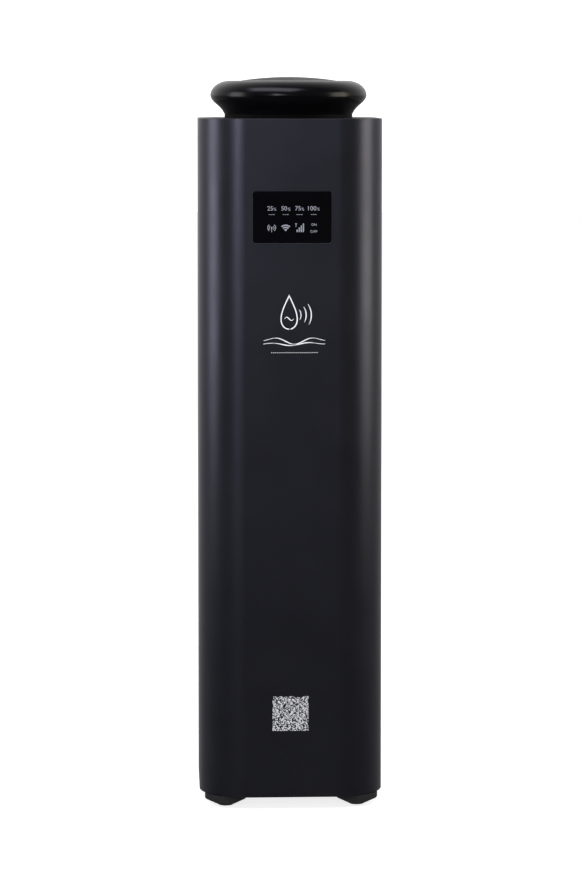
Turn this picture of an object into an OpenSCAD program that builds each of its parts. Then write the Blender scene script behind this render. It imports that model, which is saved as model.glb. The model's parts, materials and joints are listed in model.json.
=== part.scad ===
// Floor-standing scent diffuser tower.
// Origin: middle of the footprint, on the floor. Front is -Y, rear is +Y, up is +Z.

/* [Body] */
// Width and depth of the rounded-square column
body_w = 180; // [170:1:190]
// Outer corner radius of the column
corner_r = 45; // [42:1:46]
// Height of the column without feet and cap
body_h = 663; // [650:1:700]
// Wall thickness of the column
wall_t = 2.5; // [2:0.5:3]

/* [Feet] */
// Height of the rubber feet
foot_h = 12; // [11:1:14]
// Diameter of the rubber feet
foot_d = 41; // [36:1:42]
// Distance of the feet from the middle, in X and in Y
foot_off = 64.5; // [60:0.5:65]

/* [Cap] */
// Widest radius of the cap's rim
rim_r = 77.6; // [72:0.2:80]
// Radius of the collar under the cap
collar_r = 63.5; // [62:0.5:66]
// Height of the cap's dome above the column
cap_h = 40.6; // [38:0.2:44]
// Radius of the shallow dome
dome_r = 50; // [46:1:50]

/* [Display] */
// Width of the display glass
glass_w = 76; // [70:1:80]
// Height of the display glass
glass_h = 50; // [44:1:54]
// Height of the display's middle above the floor
glass_z = 580; // [560:1:600]

/* [Rear door] */
// Half of the door's width
door_half_w = 42; // [40:0.5:42]
// Lower edge of the door
door_z0 = 100; // [98:1:104]
// Upper edge of the door
door_z1 = 420; // [416:1:424]

/* [Bottle] */
// Radius of the oil bottle
bottle_r = 38; // [34:1:38]
// Distance of the bottle's axis behind the middle
bottle_y = 30; // [29:0.5:31]

/* [Hidden] */

$fn = 96;
eps = 0.01;

// Colours
c_shell = "#2b2c33";
c_black = "#15151a";
c_rubber = "#1c1c1e";
c_steel = "#b9bcc0";
c_board = "#1f5a3a";
c_brass = "#c9a24a";
c_plastic = "#2a2c30";

// Column
zb = foot_h;
zt = foot_h + body_h;
in_w = body_w - 2*wall_t;
in_r = corner_r - wall_t;
y_wall = in_w/2;
plate_gap = 0.2;
base_t = 3;
base_top = zb + base_t;
top_t = 4;
top_z0 = zt - top_t;
foot_rim_z = 7.6;
foot_tip_r = 7.4;
foot_recess_r = 4.6;
foot_recess_z = 5;
intake_x = 44;
intake_y = -34;
m3_clear_r = 1.55;
port_r = 6;
port_bore_r = 2.1;
port_off = body_w/2 - corner_r + (in_r - 5.5)/sqrt(2);

// Rear door and its hinge
open_half_w = door_half_w + 2;
open_gap_z = 1.5;
hinge_x = 1 - door_half_w;
hinge_y = y_wall;
knuckle_r = 2.4;
pin_r = 1;
knuckle_h = 10;
knuckle_gap = 0.3;
hinge_half = 2.5*knuckle_h;
hinge_z = [door_z0 + 50, door_z1 - 50];
door_t = 2.5;
lock_x = 28;
lock_z = (door_z0 + door_z1)/2;
lock_r = 8;

// Rear connector panel
panel_z0 = 24;
panel_z1 = 92;
panel_half_w = 44;
panel_open_w = 76;
socket_x = -17;
switch_x = 22;
conn_z = 58;
rocker_tilt = 8;

// Chassis: a vertical plate that carries everything
chassis_y = -14;
chassis_t = 2;
chassis_half_w = 62;
chassis_top = 600;
tray_top = 140;
bracket_z = 402;
sheet_t = 3;
shelf_half_w = 50;
shelf_y1 = 78;

// Bottle, nut and atomiser head, all on one vertical axis
bottle_z0 = 150;
neck_z = 365;
neck_r = 15;
head_z0 = 376;
head_r = 30;
mist_y = 48;
air_x = 8;
air_z = 388;

// Pump
pump_x0 = -62;
pump_x1 = 20;
pump_y0 = -80;
pump_y1 = -24;
pump_z0 = 20;
pump_z1 = 75;
pump_wall = 2.5;
pump_mid_y = -52;
pump_mid_z = 46;
pivot_x = -16;
pivot_y = -33;

// Fan
fan_w = 80;
fan_h = 25;
fan_z0 = top_z0 - fan_h;
fan_pitch = 71.5;

// Boards
board_y = -24;
board_t = 1.6;
board_z0 = 240;
board_z1 = 360;
board_half_w = 60;
board_hole_x = 54;
board_hole_in = 6;

// Rounded square or rectangle as an outline
module rounded(w, h, r) {
    square([w - 2*r, h], center = true);
    square([w, h - 2*r], center = true);
    for (sx = [-1, 1], sy = [-1, 1])
        translate([sx*(w/2 - r), sy*(h/2 - r)])
            circle(r = r);
}

// Plate with rounded corners that stands on z0
module slab(w, d, r, z0, h) {
    translate([0, 0, z0])
        linear_extrude(h)
            rounded(w, d, r);
}

// Box from its lowest and highest corners
module block(lo, hi) {
    translate(lo)
        cube(hi - lo);
}

// Rounded opening or panel that lies in the XZ plane, from y0 to y1
module wall_slab(w, h, r, x, z, y0, y1) {
    translate([x, y1, z])
        rotate([90, 0, 0])
            linear_extrude(y1 - y0)
                rounded(w, h, r);
}

// Round bar or bore along Y
module bar_y(r, x, z, y0, y1) {
    translate([x, y0, z])
        rotate([-90, 0, 0])
            cylinder(r = r, h = y1 - y0);
}

// Round bar or bore along X
module bar_x(r, x0, x1, y, z) {
    translate([x0, y, z])
        rotate([0, 90, 0])
            cylinder(r = r, h = x1 - x0);
}

// Vertical bar or bore
module bar_z(r, x, y, z0, z1) {
    translate([x, y, z0])
        cylinder(r = r, h = z1 - z0);
}

// Copies at the four corners of a square pattern
module at_corners(off) {
    for (sx = [-1, 1], sy = [-1, 1])
        translate([sx*off, sy*off, 0])
            children();
}

// Countersunk M4 screw, head down, head face at z = 0
module csk_screw(l) {
    difference() {
        union() {
            cylinder(r1 = 3.8, r2 = 2, h = 2.2);
            cylinder(r = 2, h = l);
        }
        translate([0, 0, -eps])
            cylinder(r = 1.3, h = 1.2, $fn = 6);
    }
}

// Pan head M3 screw, head down, head face at z = 0
module m3_screw() {
    difference() {
        union() {
            cylinder(r = 2.7, h = 1.8);
            cylinder(r = 1.5, h = 7.8);
        }
        translate([0, 0, -eps])
            cylinder(r = 0.9, h = 1, $fn = 6);
    }
}

// Places of the M3 screws: one child per screw, head down along its own axis
module at_m3_screws() {
    for (a = [45:90:315])
        rotate(a)
            translate([60, 0, top_z0 - 1.8])
                children();
    for (x = [-40, 0, 40])
        translate([x, -4, zb - 1.8])
            children();
    for (x = [-40, 40], z = [tray_top - 12, bracket_z + 13])
        translate([x, chassis_y - chassis_t - 1.8, z])
            rotate([-90, 0, 0])
                children();
    for (x = [-41, 41], z = [panel_z0 + 3, panel_z1 - 3])
        translate([x, body_w/2 + 1.8, z])
            rotate([90, 0, 0])
                children();
}

module m3_bores(r) {
    at_m3_screws()
        cylinder(r = r, h = 8);
}

module body_shell() {
    color(c_shell)
        difference() {
            union() {
                difference() {
                    slab(body_w, body_w, corner_r, zb, body_h);
                    slab(in_w, in_w, in_r, zb - 1, body_h + 2);
                }
                at_corners(port_off)
                    bar_z(port_r, 0, 0, base_top, top_z0);
            }
            at_corners(port_off)
                bar_z(port_bore_r, 0, 0, zb, zt);
            wall_slab(glass_w + 0.4, glass_h + 0.4, 3.2, 0, glass_z, -body_w/2 - 1, -y_wall + 1);
            wall_slab(2*open_half_w, door_z1 - door_z0 + 2*open_gap_z, 4, 0, lock_z,
                y_wall - 1, body_w/2 + 1);
            wall_slab(panel_open_w, panel_z1 - panel_z0 - 12, 4, 0, conn_z, y_wall - 1, body_w/2 + 1);
            for (i = [-4:4])
                wall_slab(3, 18, 1.5, 7*i, door_z1 + 34, y_wall - 1, body_w/2 + 1);
            m3_bores(m3_clear_r);
        }
}

module base_plate() {
    color(c_steel)
        difference() {
            slab(in_w - 2*plate_gap, in_w - 2*plate_gap, in_r - plate_gap, zb, base_t);
            at_corners(port_off) {
                translate([0, 0, zb - eps])
                    cylinder(r1 = 3.9, r2 = port_bore_r, h = 2.3);
                bar_z(port_bore_r, 0, 0, zb - 1, base_top + 1);
            }
            at_corners(foot_off)
                bar_z(2.1, 0, 0, zb - 1, base_top + 1);
            for (i = [-2:2])
                translate([intake_x + 8*i, intake_y, 0])
                    slab(4, 22, 1.9, zb - 1, base_t + 2);
            m3_bores(m3_clear_r);
        }
}

module corner_screws() {
    color(c_steel) {
        at_corners(port_off)
            translate([0, 0, zb + 0.1])
                csk_screw(16);
        at_corners(port_off)
            translate([0, 0, zt - 0.1])
                rotate([180, 0, 0])
                    csk_screw(16);
    }
}

// Round rubber foot: a disc under the base plate that tapers to a small ring on the floor
module foot(sx, sy) {
    translate([sx*foot_off, sy*foot_off, 0])
        color(c_rubber)
            rotate_extrude()
                polygon([[2.1, foot_h], [foot_d/2, foot_h], [foot_d/2, foot_rim_z],
                    [foot_d/2 - 1, foot_rim_z - 0.8], [foot_tip_r + 0.8, 0.3], [foot_tip_r, 0],
                    [5, 0], [foot_recess_r, 0.4], [foot_recess_r, foot_recess_z],
                    [2.1, foot_recess_z]]);
}

module foot_front_left() {
    foot(-1, -1);
}

module foot_front_right() {
    foot(1, -1);
}

module foot_rear_left() {
    foot(-1, 1);
}

module foot_rear_right() {
    foot(1, 1);
}

// Pan head screw up through each foot, with its clinch nut on the base plate
module foot_screws() {
    color(c_steel)
        at_corners(foot_off)
            difference() {
                union() {
                    bar_z(4, 0, 0, foot_recess_z - 2.4, foot_recess_z);
                    bar_z(2, 0, 0, foot_recess_z, base_top + 4);
                    bar_z(3.3, 0, 0, base_top, base_top + 3);
                }
                translate([0, 0, foot_recess_z - 2.5])
                    cylinder(r = 1.4, h = 1.4, $fn = 6);
            }
}

module intake_filter() {
    color("#3a3d40")
        translate([intake_x, intake_y, 0])
            slab(40, 30, 3, base_top, 4);
}

// Folded sheet: a plate across the column with a foot flange
module chassis() {
    color(c_steel)
        difference() {
            union() {
                block([-chassis_half_w, chassis_y - chassis_t, base_top],
                    [chassis_half_w, chassis_y, chassis_top]);
                block([-chassis_half_w, chassis_y, base_top],
                    [chassis_half_w, 10, base_top + chassis_t]);
            }
            bar_y(7, air_x, air_z, chassis_y - 3, chassis_y + 1);
            bar_y(4.5, 55, 300, chassis_y - 3, chassis_y + 1);
            for (z = [100, 200, 460, 510, 560])
                wall_slab(64, 24, 8, 0, z, chassis_y - 3, chassis_y + 1);
            m3_bores(m3_clear_r);
        }
}

module m3_screws() {
    color(c_steel)
        at_m3_screws()
            m3_screw();
}

// Shelf under the bottle, with a fence round the bottle's front half
module bottle_tray() {
    color(c_plastic)
        difference() {
            union() {
                block([-shelf_half_w, chassis_y, tray_top - sheet_t], [shelf_half_w, shelf_y1, tray_top]);
                block([-shelf_half_w, chassis_y, tray_top - 20],
                    [shelf_half_w, chassis_y + 2, tray_top]);
                intersection() {
                    translate([0, bottle_y, tray_top - 1])
                        difference() {
                            cylinder(r = bottle_r + 4, h = 13);
                            translate([0, 0, -1])
                                cylinder(r = bottle_r + 1.5, h = 15);
                        }
                    block([-60, chassis_y, tray_top - 1], [60, bottle_y, tray_top + 12]);
                }
            }
            m3_bores(m3_clear_r);
        }
}

module head_bracket() {
    color(c_steel)
        difference() {
            union() {
                block([-shelf_half_w, chassis_y, bracket_z], [shelf_half_w, shelf_y1, bracket_z + sheet_t]);
                block([-shelf_half_w, chassis_y, bracket_z],
                    [shelf_half_w, chassis_y + 2, bracket_z + 23]);
            }
            bar_z(24.3, 0, bottle_y, bracket_z - 1, bracket_z + sheet_t + 1);
            m3_bores(m3_clear_r);
        }
}

// Head that the bottle hangs from: spigot, flange for the nut, block, and hub with the mist barb
module atomiser_head() {
    color(c_plastic)
        difference() {
            union() {
                bar_z(neck_r - 2.8, 0, bottle_y, neck_z - 4, neck_z + 1.5);
                bar_z(16.5, 0, bottle_y, neck_z + 1.5, neck_z + 6);
                bar_z(14, 0, bottle_y, neck_z + 6, head_z0);
                bar_z(head_r, 0, bottle_y, head_z0, bracket_z);
                bar_z(24, 0, bottle_y, bracket_z, bracket_z + 8);
                bar_z(4.4, 0, mist_y, bracket_z + 8, bracket_z + 20);
                bar_y(3, air_x, air_z, -8, bottle_y);
            }
            bar_z(2.5, 0, bottle_y, neck_z - 5, 385);
            bar_z(9, 0, bottle_y, 384, bracket_z + 2);
            bar_y(3, 0, bracket_z - 4, bottle_y, mist_y);
            bar_z(3, 0, mist_y, bracket_z - 4, bracket_z + 21);
            bar_y(1.5, air_x, air_z, -9, bottle_y);
        }
}

module atomiser_jet() {
    color(c_brass)
        difference() {
            bar_z(4, 0, bottle_y, 384, 394);
            bar_z(0.6, 0, bottle_y, 383, 395);
        }
}

module dip_tube() {
    color("#d8dadd")
        difference() {
            bar_z(2.5, 0, bottle_y, bottle_z0 + 6, 384);
            bar_z(1.6, 0, bottle_y, bottle_z0 + 5, 385);
        }
}

module bottle_seal() {
    color(c_rubber)
        difference() {
            bar_z(14.8, 0, bottle_y, neck_z + 0.3, neck_z + 1.5);
            bar_z(12.4, 0, bottle_y, neck_z - 1, neck_z + 2);
        }
}

module pump_mounts() {
    color(c_rubber)
        for (x = [pump_x0 + 7, pump_x1 - 7], y = [pump_y0 + 14, pump_y1 - 8])
            translate([x, y, base_top])
                rotate_extrude()
                    polygon([[0, 0], [5, 0], [5, 1], [3.8, 2.5], [5, 4], [5, pump_z0 - base_top],
                        [0, pump_z0 - base_top]]);
}

module pump_housing() {
    color("#4a4d52") {
        difference() {
            block([pump_x0, pump_y0, pump_z0], [pump_x1, pump_y1, pump_z1]);
            block([pump_x0 + pump_wall, pump_y0 + pump_wall, pump_z0 + pump_wall],
                [pump_x1 - pump_wall, pump_y1 - pump_wall, pump_z1 + 1]);
            bar_x(3, pump_x0 - 1, pump_x0 + 4, -30, 66);
        }
        block([-58, -68, pump_z0 + 1], [-50, -36, 36]);
        bar_z(2, pivot_x, pivot_y, pump_z0 + 1, 62);
        bar_z(4, pivot_x, pivot_y, pump_z0 + 1, 36);
    }
}

module pump_cover() {
    color("#4a4d52")
        difference() {
            union() {
                block([pump_x0, pump_y0, pump_z1], [pump_x1, pump_y1, pump_z1 + 3]);
                for (i = [0:5])
                    block([pump_x0 + 8 + 9*i, pump_y0 + 6, pump_z1 + 3],
                        [pump_x0 + 11 + 9*i, pump_y1 - 6, pump_z1 + 5]);
            }
            bar_z(5, air_x, pump_mid_y, pump_z1 - 1, pump_z1 + 6);
        }
}

// Three-legged iron core that faces the armature's magnets
module pump_core() {
    color("#6b6e73") {
        block([-58, -68, 36], [-49, -36, 56]);
        for (y = [-68, -56, -42])
            block([-50, y, 36], [-26, y + (y == -56 ? 8 : 6), 56]);
    }
}

module pump_winding() {
    color("#b46a35")
        difference() {
            block([-48, -61, 31], [-30, -43, 61]);
            block([-49, -56, 36], [-29, -48, 56]);
        }
}

module pump_valve_box() {
    color("#4a4d52")
        difference() {
            union() {
                block([-7, pump_mid_y - 17, pump_mid_z - 17], [16, pump_mid_y + 17, pump_mid_z + 17]);
                block([0, pump_mid_y - 5, pump_z0 + pump_wall], [12, pump_mid_y + 5, pump_mid_z - 16]);
                bar_z(3, air_x, pump_mid_y, pump_mid_z + 16, pump_z1 + 18);
            }
            bar_x(15, -8, -3, pump_mid_y, pump_mid_z);
            bar_z(1.6, air_x, pump_mid_y, pump_mid_z, pump_z1 + 19);
            bar_x(1.6, -4, air_x, pump_mid_y, pump_mid_z);
        }
}

// Quarter bend in the YZ plane about (y, z), from angle a0 on, seen from +X
module bend_yz(x, y, z, bend_r, a0, r_out, r_in) {
    translate([x, y, z])
        rotate([90, 0, 90])
            rotate(a0)
                rotate_extrude(angle = 90)
                    translate([bend_r, 0])
                        difference() {
                            circle(r = r_out, $fn = 48);
                            if (r_in > 0)
                                circle(r = r_in, $fn = 48);
                        }
}

// Silicone hose from the pump's barb to the atomiser head
module air_hose() {
    hose_bend = 14;
    y_down = pump_mid_y;
    color("#c9ccd1") {
        difference() {
            bar_y(4.5, air_x, air_z, y_down + hose_bend, 0);
            bar_y(3.05, air_x, air_z, y_down + hose_bend - 1, 1);
        }
        bend_yz(air_x, y_down + hose_bend, air_z - hose_bend, hose_bend, 90, 4.5, 3.05);
        difference() {
            bar_z(4.5, air_x, y_down, pump_z1 + 9, air_z - hose_bend);
            bar_z(3.05, air_x, y_down, pump_z1 + 8, air_z - hose_bend + 1);
        }
    }
}

module mist_tube() {
    color("#c9ccd1")
        difference() {
            bar_z(6.5, 0, mist_y, bracket_z + 10, 632);
            bar_z(4.45, 0, mist_y, bracket_z + 9, 633);
        }
}

module outlet_nozzle() {
    color(c_plastic)
        difference() {
            union() {
                bar_z(4.4, 0, mist_y, 620, 633);
                bar_z(5, 0, mist_y, 632, zt + 7);
                bar_z(7.4, 0, mist_y, top_z0 - 3, top_z0);
            }
            bar_z(3, 0, mist_y, 619, zt + 8);
        }
}

module power_supply() {
    color("#8d9095") {
        difference() {
            block([-60, 14, base_top], [60, 52, 48]);
            for (i = [-6:6])
                block([8*i - 2, 13, 24], [8*i + 2, 15.5, 42]);
        }
        block([-29, 40, 47], [-5, 50, 62]);
        block([48, 16, 47], [60, 26, 62]);
    }
}

module main_board() {
    color(c_board) {
        difference() {
            block([-board_half_w, board_y, board_z0], [board_half_w, board_y + board_t, board_z1]);
            for (x = [-board_hole_x, board_hole_x], z = [board_z0 + board_hole_in, board_z1 - board_hole_in])
                bar_y(1.6, x, z, board_y - 1, board_y + board_t + 1);
        }
        block([-26, board_y - 9, board_z1 - 14], [-2, board_y + 1, board_z1 - 6]);
        block([-12, board_y - 2.4, 290], [12, board_y + 1, 314]);
        block([-46, board_y - 12, board_z0 + 4], [-14, board_y + 1, board_z0 + 14]);
        block([49, board_y + board_t - 0.5, 295], [59, board_y + board_t + 4, 305]);
        for (z = [270, 284, 298])
            bar_y(5, -48, z, board_y - 14, board_y + 1);
        for (i = [0:4])
            block([24 + 5*i, board_y - 14, 262], [26 + 5*i, board_y + 1, 290]);
    }
}

module board_standoffs() {
    color(c_brass)
        for (x = [-board_hole_x, board_hole_x], z = [board_z0 + board_hole_in, board_z1 - board_hole_in]) {
            bar_y(3, x, z, board_y + board_t, chassis_y - chassis_t);
            bar_y(1.6, x, z, board_y - 0.5, board_y + board_t + 0.5);
            bar_y(2.9, x, z, board_y - 2, board_y);
        }
}

module wireless_module() {
    color("#b9bcc0")
        difference() {
            block([20, board_y - 3, 316], [48, board_y, 346]);
            for (i = [0:2])
                block([23, board_y - 4, 321 + 9*i], [45, board_y - 2.6, 322 + 9*i]);
        }
}

module display_glass() {
    color("#0b0b0d")
        wall_slab(glass_w, glass_h, 3, 0, glass_z, -body_w/2 + 0.1, -y_wall);
}

module display_gasket() {
    color(c_rubber)
        difference() {
            wall_slab(glass_w + 8, glass_h + 8, 5, 0, glass_z, -y_wall, -y_wall + 0.8);
            wall_slab(glass_w - 6, glass_h - 6, 2, 0, glass_z, -y_wall - 1, -y_wall + 2);
        }
}

module display_board() {
    y0 = -y_wall + 0.8;
    color(c_board) {
        wall_slab(glass_w + 8, glass_h + 8, 3, 0, glass_z, y0, y0 + 1.6);
        block([-30, y0 + 1.5, glass_z - 6], [-12, y0 + 3.6, glass_z + 12]);
        block([10, y0 + 1.5, glass_z - 12], [26, y0 + 4, glass_z + 2]);
    }
}

// Flat ribbon from the display board down to the main board
module display_ribbon() {
    x0 = -22;
    w = 16;
    t = 0.4;
    y_face = -y_wall + 2.4;
    far_r = 25;
    near_r = 10;
    y_near = board_y - 6;
    z_run = 375;
    color("#e3d9c4") {
        block([x0, y_face, z_run + far_r], [x0 + w, y_face + t, glass_z - 10]);
        strip_bend(x0, w, t, y_face + far_r + t/2, z_run + far_r, far_r, 180);
        block([x0, y_face + far_r + t/2, z_run - t/2], [x0 + w, y_near - near_r, z_run + t/2]);
        strip_bend(x0, w, t, y_near - near_r, z_run - near_r, near_r, 0);
        block([x0, y_near - t/2, board_z1 - 6], [x0 + w, y_near + t/2, z_run - near_r]);
    }
}

module strip_bend(x0, w, t, y, z, bend_r, a0) {
    translate([x0, y, z])
        rotate([90, 0, 90])
            rotate(a0)
                rotate_extrude(angle = 90)
                    translate([bend_r - t/2, 0])
                        square([t, w]);
}

// Mains leads from the inlet to the supply, and low-voltage leads up to the main board
module power_leads() {
    color("#c23b2e") {
        for (x = [-7, 0, 7])
            bar_y(1.3, socket_x + x, conn_z, 50, 62);
        for (x = [53.5, 56.5]) {
            bar_y(1, x, 56, 0, 16);
            bend_yz(x, 0, 64, 8, 180, 1, 0);
            bar_z(1, x, -8, 64, 292);
            bend_yz(x, -16, 292, 8, 0, 1, 0);
            bar_y(1, x, 300, board_y + board_t + 4, -16);
        }
    }
}

module connector_panel() {
    color(c_plastic)
        difference() {
            wall_slab(2*panel_half_w, panel_z1 - panel_z0, 3, 0, conn_z, y_wall - 2.5, y_wall);
            wall_slab(27.2, 19.9, 2, socket_x, conn_z, y_wall - 4, y_wall + 1);
            wall_slab(13.2, 19.4, 1, switch_x, conn_z, y_wall - 4, y_wall + 1);
            m3_bores(1.5);
        }
}

// Three flat blades of the mains inlet; grow widens them into their slots
module inlet_blades(grow) {
    for (x = [-7, 0, 7])
        translate([socket_x + x, 0, conn_z + (x == 0 ? 2 : -2)])
            block([-1 - grow, 62, -2 - grow], [1 + grow, 85, 2 + grow]);
}

module inlet_socket() {
    color(c_black)
        difference() {
            union() {
                wall_slab(30.7, 23.9, 3, socket_x, conn_z, y_wall, y_wall + 2);
                wall_slab(27, 19.6, 2, socket_x, conn_z, 66, y_wall + 0.5);
            }
            wall_slab(23.4, 15.6, 2, socket_x, conn_z, 71, body_w/2);
            inlet_blades(0);
        }
}

module inlet_pins() {
    color(c_brass)
        inlet_blades(0);
}

module rocker_bezel() {
    color(c_black)
        difference() {
            union() {
                wall_slab(15, 21, 1.5, switch_x, conn_z, y_wall, y_wall + 1.8);
                wall_slab(13, 19.2, 1, switch_x, conn_z, 72, y_wall + 0.5);
            }
            wall_slab(11.2, 18, 0.8, switch_x, conn_z, 74, body_w/2);
            bar_x(1.05, switch_x - 7, switch_x + 7, 83, conn_z);
        }
}

module rocker_switch() {
    color("#9c1f1c")
        translate([switch_x, 83, conn_z])
            rotate([-rocker_tilt, 0, 0])
                difference() {
                    union() {
                        block([-5.2, -2, -7.8], [5.2, 4, 7.8]);
                        bar_x(1, -6.3, 6.3, 0, 0);
                    }
                    bar_x(30, -8, 8, 33, 0);
                }
}

module top_plate() {
    color(c_black)
        difference() {
            slab(in_w - 2*plate_gap, in_w - 2*plate_gap, in_r - plate_gap, top_z0, top_t);
            bar_z(38, 0, 0, top_z0 - 1, zt + 1);
            bar_z(5.2, 0, mist_y, top_z0 - 1, zt + 1);
            at_corners(port_off) {
                translate([0, 0, zt - 2.3])
                    cylinder(r1 = port_bore_r, r2 = 3.9, h = 2.3 + eps);
                bar_z(port_bore_r, 0, 0, top_z0 - 1, zt + 1);
            }
            at_corners(fan_pitch/2)
                bar_z(2.15, 0, 0, top_z0 - 1, zt + 1);
            m3_bores(m3_clear_r);
        }
}

// Fixed ring on the top plate, with the spigot that the cap slides over
module outlet_collar() {
    color(c_black)
        difference() {
            translate([0, 0, zt])
                rotate_extrude()
                    polygon([[56, 0], [collar_r, 0], [collar_r, 4], [58, 4], [58, 9.4], [57.4, 10],
                        [56, 10]]);
            m3_bores(1.5);
        }
}

module fan_frame() {
    color(c_black) {
        difference() {
            slab(fan_w, fan_w, 4, fan_z0, fan_h);
            bar_z(38.5, 0, 0, fan_z0 - 1, top_z0 + 1);
            at_corners(fan_pitch/2)
                bar_z(2.15, 0, 0, fan_z0 - 1, top_z0 + 1);
        }
        for (a = [0:90:270])
            rotate(a)
                block([12, -2.5, fan_z0], [39, 2.5, fan_z0 + 2.5]);
        bar_z(14, 0, 0, fan_z0, fan_z0 + 2.5);
    }
}

module fan_motor() {
    color(c_steel)
        difference() {
            bar_z(12, 0, 0, fan_z0 + 2.5, fan_z0 + 13);
            bar_z(1.55, 0, 0, fan_z0 + 4, fan_z0 + 14);
        }
}

module fan_impeller() {
    blades = 7;
    chord = 17;
    color(c_black) {
        difference() {
            bar_z(17, 0, 0, fan_z0 + 3.5, fan_z0 + 20);
            bar_z(14, 0, 0, fan_z0 + 3, fan_z0 + 17);
        }
        bar_z(1.5, 0, 0, fan_z0 + 5, fan_z0 + 18);
        for (i = [0:blades - 1])
            rotate(i*360/blades)
                translate([16, 0, fan_z0 + 12])
                    rotate([40, 0, 0])
                        translate([0, -chord/2, -0.8])
                            cube([21, chord, 1.6]);
    }
}

module fan_guard() {
    wire = 1;
    color(c_steel) {
        difference() {
            union() {
                for (r = [12, 22, 32])
                    translate([0, 0, zt + wire])
                        rotate_extrude()
                            translate([r, 0])
                                circle(r = wire, $fn = 24);
                for (a = [45:90:315])
                    rotate(a) {
                        block([11, -1.2, zt], [48, 1.2, zt + 1.4]);
                        bar_z(4.4, fan_pitch/sqrt(2), 0, zt, zt + 1.4);
                    }
            }
            at_corners(fan_pitch/2)
                bar_z(2.1, 0, 0, zt - 1, zt + 3);
        }
    }
}

module fan_screws() {
    color(c_steel)
        at_corners(fan_pitch/2)
            difference() {
                union() {
                    bar_z(2, 0, 0, fan_z0 + 2, zt + 1.5);
                    bar_z(3.6, 0, 0, zt + 1.4, zt + 3.6);
                }
                translate([0, 0, zt + 2.4])
                    cylinder(r = 1.4, h = 1.4, $fn = 6);
            }
}

// Knuckles of both hinges: number i of five, from the bottom up
module knuckle(hz, i, bore_r) {
    z0 = hz + (i - 2.5)*knuckle_h;
    difference() {
        union() {
            bar_z(knuckle_r, hinge_x, hinge_y, z0, z0 + knuckle_h - knuckle_gap);
            children();
        }
        bar_z(bore_r, hinge_x, hinge_y, z0 - 1, z0 + knuckle_h + 1);
    }
}

module door_hinge_fixed() {
    color(c_steel)
        for (hz = hinge_z) {
            block([-50, y_wall - 2.6, hz - hinge_half],
                [hinge_x - 3.6, y_wall - 0.4, hz + hinge_half - knuckle_gap]);
            for (i = [0:2:4])
                knuckle(hz, i, pin_r)
                    block([hinge_x - 3.7, y_wall - 2.6, hz + (i - 2.5)*knuckle_h],
                        [hinge_x - 1.2, y_wall, hz + (i - 1.5)*knuckle_h - knuckle_gap]);
        }
}

module hinge_pins() {
    color(c_steel)
        for (hz = hinge_z) {
            bar_z(pin_r, hinge_x, hinge_y, hz - hinge_half - 0.5, hz + hinge_half);
            bar_z(1.8, hinge_x, hinge_y, hz - hinge_half - 1.2, hz - hinge_half - 0.2);
            bar_z(1.8, hinge_x, hinge_y, hz + hinge_half - 0.2, hz + hinge_half + 0.8);
        }
}

module rear_door() {
    y0 = y_wall - door_t;
    color(c_shell)
        difference() {
            union() {
                wall_slab(2*door_half_w, door_z1 - door_z0, 3, 0, lock_z, y0, y_wall);
                for (z = [door_z0 + 10, door_z0 + 90, door_z1 - 90, door_z1 - 10])
                    block([-34, y0 - 3, z - 1], [door_half_w - 0.5, y0 + 0.5, z + 1]);
                block([door_half_w - 2, y0 - 3, door_z0 + 9], [door_half_w - 0.5, y0 + 0.5, door_z1 - 9]);
            }
            for (hz = hinge_z)
                block([-door_half_w - 1, y0 - 4, hz - hinge_half - 1.5],
                    [hinge_x + 3.1, y_wall + 1, hz + hinge_half + 1.5]);
            bar_y(lock_r, lock_x, lock_z, y0 - 4, y_wall + 1);
        }
}

module door_hinge_moving() {
    y0 = y_wall - door_t;
    color(c_steel)
        for (hz = hinge_z) {
            block([hinge_x - 0.5, y0 - 1.5, hz - hinge_half],
                [-20, y0, hz + hinge_half - knuckle_gap]);
            for (i = [1, 3])
                knuckle(hz, i, pin_r + 0.05)
                    block([hinge_x - 1.6, y0 - 1.5, hz + (i - 2.5)*knuckle_h],
                        [hinge_x + 1.6, hinge_y, hz + (i - 1.5)*knuckle_h - knuckle_gap]);
        }
}

module lock_body() {
    color("#c4c6c9")
        difference() {
            union() {
                bar_y(lock_r, lock_x, lock_z, y_wall - 7.3, y_wall + 0.5);
                bar_y(lock_r + 1.3, lock_x, lock_z, y_wall, y_wall + 1.2);
                bar_y(lock_r + 2, lock_x, lock_z, y_wall - door_t - 3, y_wall - door_t);
            }
            bar_y(5.05, lock_x, lock_z, y_wall - 8, y_wall + 2);
        }
}

// Turning core with its keyway, and the cam that reaches behind the shell wall
module lock_cylinder() {
    color("#c4c6c9")
        difference() {
            union() {
                bar_y(5, lock_x, lock_z, y_wall - 10, y_wall + 1);
                block([lock_x - 4, y_wall - 9.6, lock_z - 5], [lock_x + 4, y_wall - 7.6, lock_z + 22]);
            }
            block([lock_x - 0.6, y_wall - 3, lock_z - 3.2], [lock_x + 0.6, y_wall + 2, lock_z + 3.2]);
        }
}

module swivel_nut() {
    ribs = 20;
    color(c_black)
        difference() {
            bar_z(23, 0, bottle_y, neck_z - 19, neck_z + 9.5);
            bar_z(17, 0, bottle_y, neck_z - 20, neck_z + 6.2);
            bar_z(14.3, 0, bottle_y, neck_z + 6, neck_z + 10);
            for (i = [0:ribs - 1])
                translate([0, bottle_y, 0])
                    rotate(i*360/ribs)
                        bar_z(1.6, 23.6, 0, neck_z - 20, neck_z + 10);
        }
}

// Outline of the bottle's shoulder, from the wall in to the neck
function shoulder(wall) = [for (a = [0:10:90])
    [neck_r - wall + (bottle_r - neck_r)*cos(a), neck_z - 40 - wall/2 + 20*sin(a)]];

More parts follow.
